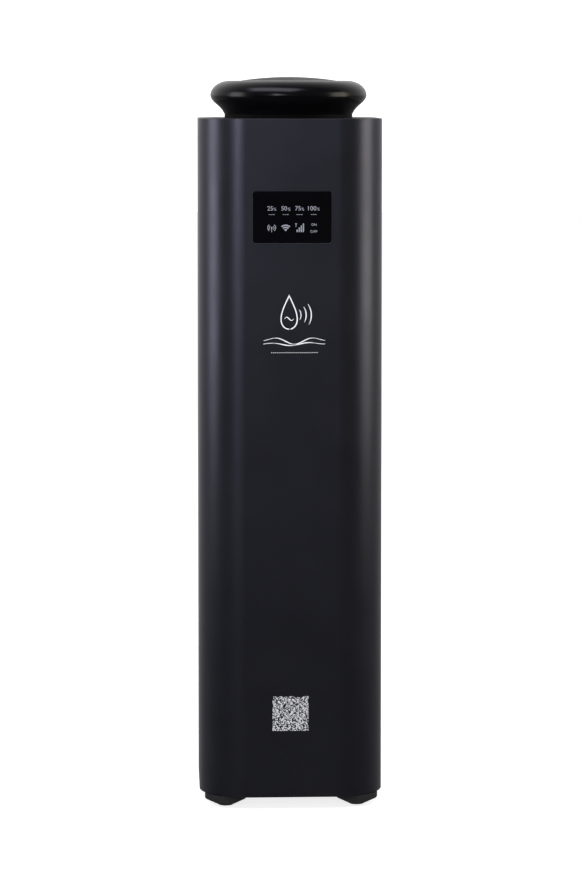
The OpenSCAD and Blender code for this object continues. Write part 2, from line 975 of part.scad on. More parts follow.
module oil_bottle() {
    wall = 2;
    color("#d9dde0", 0.9)
        translate([0, bottle_y, 0]) {
            rotate_extrude()
                polygon(concat(
                    [[0, bottle_z0], [bottle_r - 3, bottle_z0], [bottle_r - 0.8, bottle_z0 + 0.8],
                        [bottle_r, bottle_z0 + 3]],
                    shoulder(0),
                    [[neck_r, neck_z], [neck_r - wall, neck_z]],
                    [for (i = [9:-1:0]) shoulder(wall)[i]],
                    [[bottle_r - wall, bottle_z0 + 5], [bottle_r - 5, bottle_z0 + 3],
                        [0, bottle_z0 + 3]]));
            for (z = [neck_z - 14, neck_z - 10, neck_z - 6])
                translate([0, 0, z])
                    rotate_extrude()
                        polygon([[neck_r - 0.5, -0.9], [neck_r + 1.2, -0.4], [neck_r + 1.2, 0.4],
                            [neck_r - 0.5, 0.9]]);
        }
}

module pump_armature() {
    color("#8a8d92")
        difference() {
            union() {
                block([pivot_x - 2, -70, pump_mid_z - 6], [pivot_x + 2, pivot_y, pump_mid_z + 6]);
                block([pivot_x - 6, -60, pump_mid_z - 6], [pivot_x - 1.9, -44, pump_mid_z + 6]);
                bar_z(5, pivot_x, pivot_y, pump_mid_z - 8, pump_mid_z + 8);
            }
            bar_z(2.05, pivot_x, pivot_y, pump_mid_z - 9, pump_mid_z + 9);
        }
}

module pump_diaphragm() {
    color(c_rubber) {
        bar_x(5, pivot_x + 2.4, pivot_x + 6.2, pump_mid_y, pump_mid_z);
        bar_x(14, pivot_x + 6, pivot_x + 8, pump_mid_y, pump_mid_z);
    }
}

// Outline of the cap's rim about (rim_mid_r, rim_mid_z): an ellipse above and a leaner oval below
rim_mid_r = 58;
rim_mid_z = 22.5;
rim_up = 14.4;
rim_down = 14;
rim_p = 2/1.7;
rim_a0 = -39.4;
function rim(a) = a >= 0
    ? [rim_mid_r + (rim_r - rim_mid_r)*cos(a), rim_mid_z + rim_up*sin(a)]
    : [rim_mid_r + (rim_r - rim_mid_r)*pow(cos(a), rim_p), rim_mid_z - rim_down*pow(-sin(a), rim_p)];

// Outline of the flare from the collar up to the rim
flare_z0 = 4.2;
flare_z1 = rim(rim_a0)[1];
function flare(t) = let (z = flare_z0 + t*(flare_z1 - flare_z0))
    [collar_r + (rim(rim_a0)[0] - collar_r)*pow((z - 2)/(flare_z1 - 2), 1.8), z];

throat_r = 56;

module cap_ring() {
    color(c_black)
        translate([0, 0, zt])
            rotate_extrude($fn = 128)
                polygon(concat(
                    [for (t = [0:0.1:0.95]) flare(t)],
                    [for (i = [0:24]) rim(rim_a0 + (90 - rim_a0)*i/24)],
                    [[throat_r + 0.8, 36.1], [throat_r, 35.2], [throat_r, 11.2], [58.4, 10.6],
                        [58.4, flare_z0]]));
}

dome_sphere_r = 310;
dome_under = 33;
function dome(r) = [r, cap_h - r*r/(2*dome_sphere_r)];

module cap_dome() {
    color("#2e2e31")
        translate([0, 0, zt])
            rotate_extrude($fn = 128)
                polygon(concat(
                    [[0, dome_under]],
                    [[dome_r - 1.4, dome_under], [dome_r - 0.4, dome_under + 0.5],
                        [dome_r, dome_under + 1.5], [dome_r, cap_h - 6.2],
                        [dome_r - 0.4, cap_h - 5], [dome_r - 1.5, cap_h - 4.2]],
                    [for (r = [dome_r - 2.6:-5.925:1]) dome(r)],
                    [[0, cap_h]]));
}

// Ring in the throat, four arms and the stem under the dome
module cap_spider() {
    color(c_black)
        translate([0, 0, zt]) {
            difference() {
                bar_z(throat_r - 0.05, 0, 0, 12, 18);
                bar_z(53, 0, 0, 11, 19);
            }
            for (a = [45:90:315])
                rotate(a)
                    block([8, -2.5, 12], [54, 2.5, 17]);
            bar_z(14, 0, 0, 12, 20);
            bar_z(9, 0, 0, 19, dome_under);
        }
}

body_shell();
base_plate();
corner_screws();
foot_front_left();
foot_front_right();
foot_rear_left();
foot_rear_right();
foot_screws();
intake_filter();
chassis();
m3_screws();
bottle_tray();
head_bracket();
atomiser_head();
atomiser_jet();
dip_tube();
bottle_seal();
pump_mounts();
pump_housing();
pump_cover();
pump_core();
pump_winding();
pump_valve_box();
air_hose();
mist_tube();
outlet_nozzle();
power_supply();
main_board();
board_standoffs();
wireless_module();
display_glass();
display_gasket();
display_board();
display_ribbon();
power_leads();
connector_panel();
inlet_socket();
inlet_pins();
rocker_bezel();
top_plate();
outlet_collar();
fan_frame();
fan_motor();
fan_guard();
fan_screws();
door_hinge_fixed();
hinge_pins();
cap_ring();
cap_dome();
cap_spider();
fan_impeller();
rear_door();
door_hinge_moving();
lock_body();
lock_cylinder();
rocker_switch();
swivel_nut();
oil_bottle();
pump_armature();
pump_diaphragm();
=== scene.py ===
"""Scent diffuser tower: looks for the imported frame. Metres, front is -Y, up is +Z."""
import json
import math
import random

import bmesh
import bpy
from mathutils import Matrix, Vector


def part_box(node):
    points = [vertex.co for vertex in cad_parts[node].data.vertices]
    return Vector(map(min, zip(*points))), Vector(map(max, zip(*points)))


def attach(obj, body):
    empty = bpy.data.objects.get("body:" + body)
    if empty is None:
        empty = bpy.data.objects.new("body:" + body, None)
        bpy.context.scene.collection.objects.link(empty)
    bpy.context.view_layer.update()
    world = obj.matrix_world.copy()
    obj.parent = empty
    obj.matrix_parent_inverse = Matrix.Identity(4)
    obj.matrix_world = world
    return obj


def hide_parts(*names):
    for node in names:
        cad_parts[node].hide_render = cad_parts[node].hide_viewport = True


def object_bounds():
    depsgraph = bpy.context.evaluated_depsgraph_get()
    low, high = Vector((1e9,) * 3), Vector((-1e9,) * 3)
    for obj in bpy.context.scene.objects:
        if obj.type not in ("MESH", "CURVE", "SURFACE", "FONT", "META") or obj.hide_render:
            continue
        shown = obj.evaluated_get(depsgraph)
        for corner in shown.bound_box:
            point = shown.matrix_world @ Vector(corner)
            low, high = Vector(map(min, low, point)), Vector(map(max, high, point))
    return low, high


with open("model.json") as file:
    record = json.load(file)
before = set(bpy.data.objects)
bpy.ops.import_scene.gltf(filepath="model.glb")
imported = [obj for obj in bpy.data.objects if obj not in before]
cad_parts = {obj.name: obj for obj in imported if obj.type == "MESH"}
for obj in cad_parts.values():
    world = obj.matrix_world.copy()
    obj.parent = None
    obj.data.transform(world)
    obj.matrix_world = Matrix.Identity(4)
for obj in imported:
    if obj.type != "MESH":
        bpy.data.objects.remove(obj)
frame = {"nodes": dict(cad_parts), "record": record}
cad_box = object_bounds()

MM = 0.001
NODES = frame["nodes"]
RECORD = frame["record"]
BODY_OF = {n: b for b, names in RECORD["behaviour"]["bodies"].items() for n in names}
SLOT_OF = {s["node"]: s["material_slot"] for s in RECORD["subparts"]}

# ---------------------------------------------------------------- sizes from the frame

shell_lo, shell_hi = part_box("body_shell")
glass_lo, glass_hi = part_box("display_glass")
ring_lo, ring_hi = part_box("cap_ring")
dome_lo, dome_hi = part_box("cap_dome")
collar_lo, collar_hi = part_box("outlet_collar")
door_lo, door_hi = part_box("rear_door")

HALF_W = shell_hi.x
CORNER_R = 45 * MM
WALL = 2.5 * MM
GLASS_R = 3 * MM
Z_BOTTOM = shell_lo.z
Z_TOP = shell_hi.z
FRONT_Y = shell_lo.y
OBJECT_H = cad_box[1].z


# ---------------------------------------------------------------- small tools

def mesh_object(name, bm, material, smooth_deg=35.0):
    """A shaded object from a bmesh."""
    bmesh.ops.recalc_face_normals(bm, faces=bm.faces)
    me = bpy.data.meshes.new(name)
    bm.to_mesh(me)
    bm.free()
    obj = bpy.data.objects.new(name, me)
    bpy.context.collection.objects.link(obj)
    me.materials.append(material)
    shade(me, smooth_deg)
    return obj


def shade(me, smooth_deg):
    """Smooth shading that stays sharp across edges steeper than smooth_deg."""
    me.shade_smooth()
    me.set_sharp_from_angle(angle=math.radians(smooth_deg))


def bake_modifiers(obj, smooth_deg=35.0):
    """Applies an object's modifiers to its mesh; None keeps the normals that they made."""
    dg = bpy.context.evaluated_depsgraph_get()
    me = bpy.data.meshes.new_from_object(obj.evaluated_get(dg))
    obj.modifiers.clear()
    obj.data = me
    if smooth_deg is not None:
        shade(me, smooth_deg)
    return obj


def bevel_edges(obj, width, segments, angle_deg):
    """Rounds the edges where faces meet at more than angle_deg."""
    soft = obj.modifiers.new("edges", "BEVEL")
    soft.width = width
    soft.segments = segments
    soft.limit_method = "ANGLE"
    soft.angle_limit = math.radians(angle_deg)


def weight_normals(obj):
    """Keeps large flat faces flat in the light beside small rounded edges."""
    weighted = obj.modifiers.new("flat_faces", "WEIGHTED_NORMAL")
    weighted.mode = "FACE_AREA"
    weighted.weight = 100
    weighted.keep_sharp = True


def place(obj, body, slot, *nodes):
    """Rides a piece on its body and hides the CAD nodes that it stands for."""
    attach(obj, body)
    if nodes:
        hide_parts(*nodes)
    return obj


def rounded_rect(w, h, r, seg=10):
    """Points of a rounded rectangle about the origin, anticlockwise."""
    pts = []
    for i, (sx, sy) in enumerate([(1, 1), (-1, 1), (-1, -1), (1, -1)]):
        for k in range(seg + 1):
            a = math.radians(90 * i + 90 * k / seg)
            pts.append((sx * (w / 2 - r) + r * math.cos(a), sy * (h / 2 - r) + r * math.sin(a)))
    return pts


def circle_pts(r, n, cx=0.0, cy=0.0):
    """n points of a circle, anticlockwise."""
    return [(cx + r * math.cos(2 * math.pi * i / n), cy + r * math.sin(2 * math.pi * i / n))
            for i in range(n)]


def lathe(name, profile, centre, material, n=96, smooth_deg=35.0, closed=True):
    """Turns a profile of (radius, z) points round the vertical through centre."""
    bm = bmesh.new()
    cx, cy = centre
    rings = []
    for r, z in profile:
        if r < 1e-7:
            rings.append([bm.verts.new((cx, cy, z))])
        else:
            rings.append([bm.verts.new((cx + x, cy + y, z)) for x, y in circle_pts(r, n)])
    pairs = list(zip(rings, rings[1:]))
    if closed and len(rings[0]) > 1 and len(rings[-1]) > 1:
        pairs.append((rings[-1], rings[0]))
    for a, b in pairs:
        for i in range(n):
            j = (i + 1) % n
            if len(a) == 1 and len(b) == 1:
                continue
            if len(a) == 1:
                bm.faces.new((a[0], b[i], b[j]))
            elif len(b) == 1:
                bm.faces.new((a[i], b[0], a[j]))
            else:
                bm.faces.new((a[i], b[i], b[j], a[j]))
    return mesh_object(name, bm, material, smooth_deg)


def prism(bm, pts, to_world, depth0, depth1):
    """Adds a solid between two copies of an outline; to_world maps (u, v, depth) to a point."""
    low = [bm.verts.new(to_world(u, v, depth0)) for u, v in pts]
    high = [bm.verts.new(to_world(u, v, depth1)) for u, v in pts]
    n = len(pts)
    bm.faces.new(low)
    bm.faces.new(list(reversed(high)))
    for i in range(n):
        j = (i + 1) % n
        bm.faces.new((low[j], low[i], high[i], high[j]))


def arc_points(cx, cy, r, a0, a1, n):
    """n + 1 points of an arc from angle a0 to a1 in degrees."""
    return [(cx + r * math.cos(math.radians(a0 + (a1 - a0) * i / n)),
             cy + r * math.sin(math.radians(a0 + (a1 - a0) * i / n))) for i in range(n + 1)]


def stroke(pts, widths):
    """Outline of a pen stroke along pts whose width at each point is in widths."""
    left, right = [], []
    for i, (x, y) in enumerate(pts):
        x0, y0 = pts[max(i - 1, 0)]
        x1, y1 = pts[min(i + 1, len(pts) - 1)]
        d = math.hypot(x1 - x0, y1 - y0) or 1e-9
        nx, ny = -(y1 - y0) / d, (x1 - x0) / d
        h = widths[i] / 2
        left.append((x + nx * h, y + ny * h))
        right.append((x - nx * h, y - ny * h))
    return left + right[::-1]


# ---------------------------------------------------------------- materials

def new_material(name):
    """A material with its node tree and its main shader."""
    mat = bpy.data.materials.new(name)
    mat.use_nodes = True
    nt = mat.node_tree
    bsdf = nt.nodes["Principled BSDF"]
    return mat, nt, bsdf


def object_coords(nt):
    """Coordinates that stay with the piece."""
    return nt.nodes.new("ShaderNodeTexCoord").outputs["Object"]


def noise(nt, scale, detail=3.0, rough=0.5, coords=None):
    """A noise texture's grey value."""
    tex = nt.nodes.new("ShaderNodeTexNoise")
    tex.inputs["Scale"].default_value = scale
    tex.inputs["Detail"].default_value = detail
    tex.inputs["Roughness"].default_value = rough
    nt.links.new(coords or object_coords(nt), tex.inputs["Vector"])
    return tex.outputs["Fac"]


def ranged(nt, value, lo, hi, from_lo=0.3, from_hi=0.7):
    """Maps a value's range to lo..hi."""
    node = nt.nodes.new("ShaderNodeMapRange")
    node.inputs["From Min"].default_value = from_lo
    node.inputs["From Max"].default_value = from_hi
    node.inputs["To Min"].default_value = lo
    node.inputs["To Max"].default_value = hi
    nt.links.new(value, node.inputs["Value"])
    return node.outputs["Result"]


def two_tone(nt, fac, dark, light):
    """A colour between dark and light."""
    mix = nt.nodes.new("ShaderNodeMix")
    mix.data_type = "RGBA"
    mix.inputs["A"].default_value = (*dark, 1)
    mix.inputs["B"].default_value = (*light, 1)
    nt.links.new(fac, mix.inputs["Factor"])
    return mix.outputs["Result"]


def bump(nt, bsdf, height, strength, distance):
    """Fine relief on the shader's normal."""
    node = nt.nodes.new("ShaderNodeBump")
    node.inputs["Strength"].default_value = strength
    node.inputs["Distance"].default_value = distance
    nt.links.new(height, node.inputs["Height"])
    nt.links.new(node.outputs["Normal"], bsdf.inputs["Normal"])


def finish_material(name, colour, vary=0.12, rough=0.5, rough_vary=0.06, metallic=0.0, specular=0.5,
                    grain=900.0, grain_depth=0.00002, tone=18.0, transmission=0.0):
    """A solid colour with slow tonal drift, uneven gloss and a fine surface grain."""
    mat, nt, bsdf = new_material(name)
    dark = tuple(c * (1 - vary) for c in colour)
    light = tuple(min(1.0, c * (1 + vary)) for c in colour)
    nt.links.new(two_tone(nt, ranged(nt, noise(nt, tone), 0, 1), dark, light),
                 bsdf.inputs["Base Color"])
    nt.links.new(ranged(nt, noise(nt, tone * 3.1, 4.0), rough - rough_vary, rough + rough_vary),
                 bsdf.inputs["Roughness"])
    bsdf.inputs["Metallic"].default_value = metallic
    bsdf.inputs["Specular IOR Level"].default_value = specular
    bsdf.inputs["Transmission Weight"].default_value = transmission
    if grain_depth > 0:
        bump(nt, bsdf, noise(nt, grain, 2.0), 0.6, grain_depth)
    return mat


def anodised_material():
    """Satin anodised aluminium: dark, blue-black, with a fine bead-blasted grain."""
    mat, nt, bsdf = new_material("anodised")
    drift = two_tone(nt, ranged(nt, noise(nt, 7.0, 2.0), 0, 1), (0.052, 0.053, 0.068),
                     (0.060, 0.061, 0.076))
    nt.links.new(drift, bsdf.inputs["Base Color"])
    nt.links.new(ranged(nt, noise(nt, 30.0, 5.0), 0.33, 0.38), bsdf.inputs["Roughness"])
    bsdf.inputs["Metallic"].default_value = 0.9
    bump(nt, bsdf, noise(nt, 2600.0, 1.0), 0.35, 0.00001)
    return mat


def brushed_material(name, colour, rough=0.32, stretch=(1.0, 1.0, 0.04)):
    """Metal with fine parallel brush marks."""
    mat, nt, bsdf = new_material(name)
    mapping = nt.nodes.new("ShaderNodeMapping")
    mapping.inputs["Scale"].default_value = stretch
    nt.links.new(object_coords(nt), mapping.inputs["Vector"])
    lines = noise(nt, 1400.0, 3.0, 0.6, mapping.outputs["Vector"])
    dark = tuple(c * 0.86 for c in colour)
    nt.links.new(two_tone(nt, ranged(nt, noise(nt, 12.0), 0, 1), dark, colour),
                 bsdf.inputs["Base Color"])
    nt.links.new(ranged(nt, lines, rough - 0.07, rough + 0.1), bsdf.inputs["Roughness"])
    bsdf.inputs["Metallic"].default_value = 1.0
    bump(nt, bsdf, lines, 0.25, 0.00001)
    return mat


OIL_Z = 288 * MM


def bottle_material():
    """Milky plastic that looks amber where the oil stands behind it."""
    mat = finish_material("bottle_plastic", (0.72, 0.74, 0.75), 0.05, 0.34, 0.05, grain=500.0,
                          grain_depth=0.00003, transmission=0.35)
    nt = mat.node_tree
    bsdf = next(n for n in nt.nodes if n.type == "BSDF_PRINCIPLED")
    plain = bsdf.inputs["Base Color"].links[0].from_socket
    split = nt.nodes.new("ShaderNodeSeparateXYZ")
    nt.links.new(object_coords(nt), split.inputs["Vector"])
    level = ranged(nt, split.outputs["Z"], 1, 0, OIL_Z - 0.6 * MM, OIL_Z + 0.6 * MM)
    mix = nt.nodes.new("ShaderNodeMix")
    mix.data_type = "RGBA"
    nt.links.new(level, mix.inputs["Factor"])
    nt.links.new(plain, mix.inputs["A"])
    mix.inputs["B"].default_value = (0.50, 0.33, 0.11, 1)
    nt.links.new(mix.outputs["Result"], bsdf.inputs["Base Color"])
    return mat


MAT = {
    "anodised_shell": anodised_material(),
    "black_cap": finish_material("cap_gloss", (0.0016, 0.0016, 0.0024), 0.15, 0.24, 0.02, specular=0.26,
                                 grain=1500.0, grain_depth=0.000002),
    "dome": finish_material("dome_matte", (0.016, 0.016, 0.018), 0.12, 0.48, 0.05, specular=0.3,
                            grain=1300.0, grain_depth=0.00002),
    "black_plastic": finish_material("black_moulding", (0.016, 0.016, 0.018), 0.15, 0.5, 0.06,
                                     grain=1100.0, grain_depth=0.00003),
    "grey_plastic": finish_material("grey_moulding", (0.055, 0.058, 0.063), 0.12, 0.52, 0.06,
                                    grain=900.0, grain_depth=0.00003),
    "display": finish_material("display_glass", (0.0016, 0.0016, 0.0024), 0.1, 0.1, 0.02,
                               specular=0.16, grain_depth=0.0),
    "rubber": finish_material("rubber", (0.014, 0.014, 0.015), 0.2, 0.72, 0.08, grain=700.0,
                              grain_depth=0.00005, specular=0.35),
    "foam": finish_material("foam", (0.03, 0.031, 0.034), 0.4, 0.95, 0.03, grain=420.0,
                            grain_depth=0.0006, specular=0.2),
    "steel": brushed_material("plated_steel", (0.58, 0.59, 0.61)),
    "brass": brushed_material("turned_brass", (0.72, 0.52, 0.24), 0.28),
    "copper": brushed_material("enamelled_copper", (0.62, 0.27, 0.11), 0.3, (1.0, 0.05, 1.0)),
    "circuit_board": finish_material("solder_mask", (0.012, 0.085, 0.035), 0.25, 0.38, 0.05,
                                     grain=600.0, grain_depth=0.00002, tone=60.0),
    "silicone": finish_material("silicone", (0.60, 0.63, 0.66), 0.06, 0.38, 0.05, grain=300.0,
                                grain_depth=0.00002, transmission=0.25),
    "bottle": bottle_material(),
    "ribbon": finish_material("ribbon_film", (0.62, 0.55, 0.38), 0.12, 0.4, 0.05, grain=200.0,
                              grain_depth=0.00002),
    "wire": finish_material("wire_insulation", (0.42, 0.03, 0.02), 0.15, 0.42, 0.05, grain=500.0,
                            grain_depth=0.00002),
    "switch_red": finish_material("switch_red", (0.33, 0.012, 0.009), 0.1, 0.3, 0.04, grain=900.0,
                                  grain_depth=0.00001),
}
collar_matte = finish_material("collar_matte", (0.003, 0.003, 0.0035), 0.15, 0.6, 0.05, specular=0.08)
print_white = finish_material("print_white", (0.86, 0.87, 0.88), 0.04, 0.55, 0.05, grain=1800.0,
                              grain_depth=0.00001)
icon_white = finish_material("icon_white", (0.27, 0.28, 0.32), 0.08, 0.45, 0.05, grain=1500.0,
                             grain_depth=0.00001)
code_white = finish_material("code_white", (0.60, 0.61, 0.62), 0.04, 0.55, 0.05, grain=1800.0,
                             grain_depth=0.00001)

for node_name, obj in NODES.items():
    obj.data.materials.clear()
    obj.data.materials.append(MAT[SLOT_OF[node_name]])

# ---------------------------------------------------------------- body shell

EDGE = 0.35 * MM
CORNER_SEGMENTS = 28
GLASS_GAP = 0.2 * MM
DOOR_GAP_X = 2 * MM
DOOR_GAP_Z = 1.5 * MM
PANEL_OPEN_W = 76 * MM
PANEL_OVERLAP = 6 * MM
PANEL_SCREW_X = 41 * MM
PANEL_SCREW_EDGE = 3 * MM
SCREW_HOLE_R = 1.55 * MM
VENT_W = 3 * MM
VENT_H = 18 * MM
VENT_PITCH = 7 * MM
VENT_RISE = 34 * MM
PORT_R = 6 * MM
PORT_BORE_R = 2.1 * MM
PORT_INSET = 5.5 * MM
PORT_SEGMENTS = 40


def shell_outline(inset):
    """The column's outline, moved inwards by inset."""
    half = HALF_W - inset
    return rounded_rect(2 * half, 2 * half, CORNER_R - inset, CORNER_SEGMENTS)


def shell_section():
    """Closed section of the wall as (inset, z), with rounded ends."""
    pts = []
    for k in range(4):
        a = math.radians(90 * k / 3)
        pts.append((EDGE - EDGE * math.sin(a), Z_BOTTOM + EDGE - EDGE * math.cos(a)))
    for k in range(4):
        a = math.radians(90 * k / 3)
        pts.append((EDGE - EDGE * math.cos(a), Z_TOP - EDGE + EDGE * math.sin(a)))
    for k in range(4):
        a = math.radians(90 * k / 3)
        pts.append((WALL - EDGE + EDGE * math.sin(a), Z_TOP - EDGE + EDGE * math.cos(a)))
    pts.append((WALL, Z_BOTTOM + EDGE))
    pts.append((WALL - EDGE, Z_BOTTOM))
    return pts


def facing_y(x, z):
    """Maps outline coordinates on a front or rear face, centred on (x, z), to points."""
    return lambda u, v, d: (x + u, d, z + v)


def opening(cut, w, h, r, x, z, depths, seg=10):
    """Adds a rounded opening, centred on (x, z), to the cutter."""
    prism(cut, rounded_rect(w, h, r, seg), facing_y(x, z), *depths)


def build_shell():
    """The extruded tube with its window, door opening, panel opening, vents and screw holes."""
    bm = bmesh.new()
    section = shell_section()
    loops = [[bm.verts.new((x, y, z)) for x, y in shell_outline(inset)] for inset, z in section]
    n = len(loops[0])
    for a, b in zip(loops, loops[1:] + loops[:1]):
        for i in range(n):
            j = (i + 1) % n
            bm.faces.new((a[i], a[j], b[j], b[i]))
    shell = mesh_object("shell_tube", bm, MAT["anodised_shell"])

    cut = bmesh.new()
    over = 1.5 * MM
    front = (FRONT_Y - over, FRONT_Y + WALL + over)
    rear = (-FRONT_Y - WALL - over, -FRONT_Y + over)
    glass_mid = (glass_lo + glass_hi) / 2
    opening(cut, glass_hi.x - glass_lo.x + 2 * GLASS_GAP, glass_hi.z - glass_lo.z + 2 * GLASS_GAP,
            GLASS_R + GLASS_GAP, glass_mid.x, glass_mid.z, front)
    opening(cut, door_hi.x - door_lo.x + 2 * DOOR_GAP_X, door_hi.z - door_lo.z + 2 * DOOR_GAP_Z,
            4 * MM, 0, (door_lo.z + door_hi.z) / 2, rear)
    panel_lo, panel_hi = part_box("connector_panel")
    opening(cut, PANEL_OPEN_W, panel_hi.z - panel_lo.z - 2 * PANEL_OVERLAP, 4 * MM,
            0, (panel_lo.z + panel_hi.z) / 2, rear)
    for i in range(-4, 5):
        opening(cut, VENT_W, VENT_H, VENT_W / 2 - 0.01 * MM, VENT_PITCH * i, door_hi.z + VENT_RISE, rear, 6)
    for x in (-PANEL_SCREW_X, PANEL_SCREW_X):
        for z in (panel_lo.z + PANEL_SCREW_EDGE, panel_hi.z - PANEL_SCREW_EDGE):
            prism(cut, circle_pts(SCREW_HOLE_R, 24), facing_y(x, z), *rear)
    cutter = mesh_object("shell_cutter", cut, MAT["anodised_shell"])
    mod = shell.modifiers.new("windows", "BOOLEAN")
    mod.object = cutter
    mod.solver = "EXACT"
    bake_modifiers(shell)
    bpy.data.objects.remove(cutter)
    bevel_edges(shell, 0.3 * MM, 2, 60)
    weight_normals(shell)
    bake_modifiers(shell, None)
    return place(shell, "housing", "anodised_shell", "body_shell")


def build_screw_ports():
    """The extrusion's four screw channels."""
    bm = bmesh.new()
    base_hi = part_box("base_plate")[1].z
    top_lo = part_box("top_plate")[0].z
    n = PORT_SEGMENTS
    off = HALF_W - CORNER_R + (CORNER_R - WALL - PORT_INSET) / math.sqrt(2)
    for sx in (-1, 1):
        for sy in (-1, 1):
            outer, inner = [], []
            for z in (base_hi, top_lo):
                for ring, r in ((outer, PORT_R), (inner, PORT_BORE_R)):
                    around = circle_pts(r, n, sx * off, sy * off)
                    ring.append([bm.verts.new((x, y, z)) for x, y in around])
            for i in range(n):
                j = (i + 1) % n
                bm.faces.new((outer[0][i], outer[0][j], outer[1][j], outer[1][i]))
                bm.faces.new((inner[0][j], inner[0][i], inner[1][i], inner[1][j]))
                for end in (0, 1):
                    bm.faces.new((outer[end][i], inner[end][i], inner[end][j], outer[end][j]))
    ports = mesh_object("shell_screw_ports", bm, MAT["anodised_shell"])
    return place(ports, "housing", "anodised_shell", "body_shell")


build_shell()
build_screw_ports()

# ---------------------------------------------------------------- cap, dome, collar

RIM_R = ring_hi.x
COLLAR_R = collar_hi.x
THROAT_R = 56 * MM
RIM_MID_R = 58 * MM
RIM_MID_Z = Z_TOP + 22.5 * MM
RIM_UP = 14.4 * MM
RIM_DOWN = 14 * MM
RIM_POWER = 2 / 1.7
RIM_A0 = -39.4
FLARE_Z = Z_TOP + 2 * MM
FLARE_POWER = 1.8
SPIGOT_R = 58.4 * MM
SPIGOT_Z = Z_TOP + 10.6 * MM
SPIGOT_CHAMFER = 0.6 * MM


def rim_point(a):
    """Point of the rim's outline: an ellipse above its middle and a leaner oval below."""
    c, s = math.cos(math.radians(a)), math.sin(math.radians(a))
    if a >= 0:
        return (RIM_MID_R + (RIM_R - RIM_MID_R) * c, RIM_MID_Z + RIM_UP * s)
    return (RIM_MID_R + (RIM_R - RIM_MID_R) * c ** RIM_POWER, RIM_MID_Z - RIM_DOWN * (-s) ** RIM_POWER)


def build_cap_ring():
    """The flared ring with its fat rounded rim, from the collar up, hollow in the middle."""
    low_r, low_z = rim_point(RIM_A0)
    z0 = ring_lo.z
    pts = []
    steps = 18
    for i in range(steps):
        z = z0 + (low_z - z0) * i / steps
        t = (z - FLARE_Z) / (low_z - FLARE_Z)
        pts.append((COLLAR_R + (low_r - COLLAR_R) * t ** FLARE_POWER, z))
    rim_steps = 60
    for i in range(rim_steps + 1):
        pts.append(rim_point(RIM_A0 + (90 - RIM_A0) * i / rim_steps))
    lip = 1.6 * MM
    for k in range(1, 9):
        a = math.radians(90 * k / 8)
        pts.append((THROAT_R + lip - lip * math.sin(a), RIM_MID_Z + RIM_UP - lip + lip * math.cos(a)))
    pts.append((THROAT_R, SPIGOT_Z + SPIGOT_CHAMFER))
    pts.append((SPIGOT_R, SPIGOT_Z))
    pts.append((SPIGOT_R, z0))
    ring = lathe("cap_flare_ring", pts, (0, 0), MAT["black_cap"], 192, 40)
    return place(ring, "cap", "black_cap", "cap_ring")


def build_dome():
    """Shallow spherical dome with a rolled edge and a hollow underside."""
    r_edge = dome_hi.x
    top = dome_hi.z
    under = dome_lo.z
    sphere = 310 * MM
    roll = 2.4 * MM
    chamfer = 0.8 * MM
    pts = [(0.0, top)]
    for i in range(1, 25):
        r = (r_edge - roll) * i / 24
        pts.append((r, top - r * r / (2 * sphere)))
    z_roll = pts[-1][1] - roll
    for k in range(1, 9):
        a = math.radians(90 * k / 8)
        pts.append((r_edge - roll + roll * math.sin(a), z_roll + roll * math.cos(a)))
    pts += [(r_edge, under + chamfer), (r_edge - chamfer, under), (0.0, under)]
    dome = lathe("cap_dome_disc", pts, (0, 0), MAT["dome"], 160, 35, closed=False)
    return place(dome, "cap", "dome", "cap_dome")


def build_collar():
    """The collar that the cap sits on, with its inner lip."""
    z = collar_lo.z
    # Radius and height above the collar's foot, in millimetres
    pts = [(56, 0), (63.2, 0), (63.5, 0.3), (63.5, 3.6), (63.2, 4), (58.3, 4), (58, 4.3), (58, 9.4),
           (57.6, 9.9), (56.4, 9.9), (56, 9.5)]
    collar = lathe("collar_ring", [(r * MM, z + h * MM) for r, h in pts], (0, 0), collar_matte, 192, 30)
    return place(collar, "housing", "black_cap", "outlet_collar")


build_cap_ring()
build_dome()
build_collar()

# ---------------------------------------------------------------- feet

def build_foot(node):
    """A rubber disc that tapers to a small ring on the floor, with two shallow grooves."""
    lo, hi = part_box(node)
    r = (hi.x - lo.x) / 2
    h = hi.z
    centre = ((lo.x + hi.x) / 2, (lo.y + hi.y) / 2)
    rim_z = 7.6 * MM
    tip_r = 7.4 * MM
    pts = [(2.2 * MM, h), (r - 0.5 * MM, h), (r, h - 0.5 * MM)]
    for k in range(5):
        a = math.radians(75 * k / 4)
        pts.append((r - MM + MM * math.cos(a), rim_z - MM * math.sin(a)))
    for t in (0.32, 0.64):
        groove_r, groove_z = r - MM + t * (tip_r - r + MM), rim_z - MM + t * (1.3 * MM - rim_z)
        pts += [(groove_r + 0.5 * MM, groove_z + 0.17 * MM), (groove_r + 0.3 * MM, groove_z + 0.5 * MM),
                (groove_r - 0.3 * MM, groove_z + 0.3 * MM), (groove_r - 0.5 * MM, groove_z - 0.17 * MM)]
    pts += [(tip_r, 0.4 * MM), (tip_r - 0.3 * MM, 0.1 * MM), (tip_r - 0.8 * MM, 0), (5 * MM, 0),
            (4.7 * MM, 0.3 * MM), (4.6 * MM, 5 * MM), (2.2 * MM, 5 * MM)]
    foot = lathe("pad_" + node, pts, centre, MAT["rubber"], 96, 35)
    return place(foot, "housing", "rubber", node)


for side in ("front_left", "front_right", "rear_left", "rear_right"):
    build_foot("foot_" + side)

# ---------------------------------------------------------------- display and its icons

ICON_Y = glass_lo.y - 0.06 * MM
PRINT_Y = FRONT_Y - 0.05 * MM
PRINT_DEPTH = 0.05 * MM
EMBLEM_X = 2 * MM
EMBLEM_Z = Z_TOP - 187 * MM
SWASH_Z = Z_TOP - 214.5 * MM
DOTS_Z = Z_TOP - 226.4 * MM
CODE_X = -1.7 * MM
CODE_Z = Z_BOTTOM + 82.9 * MM


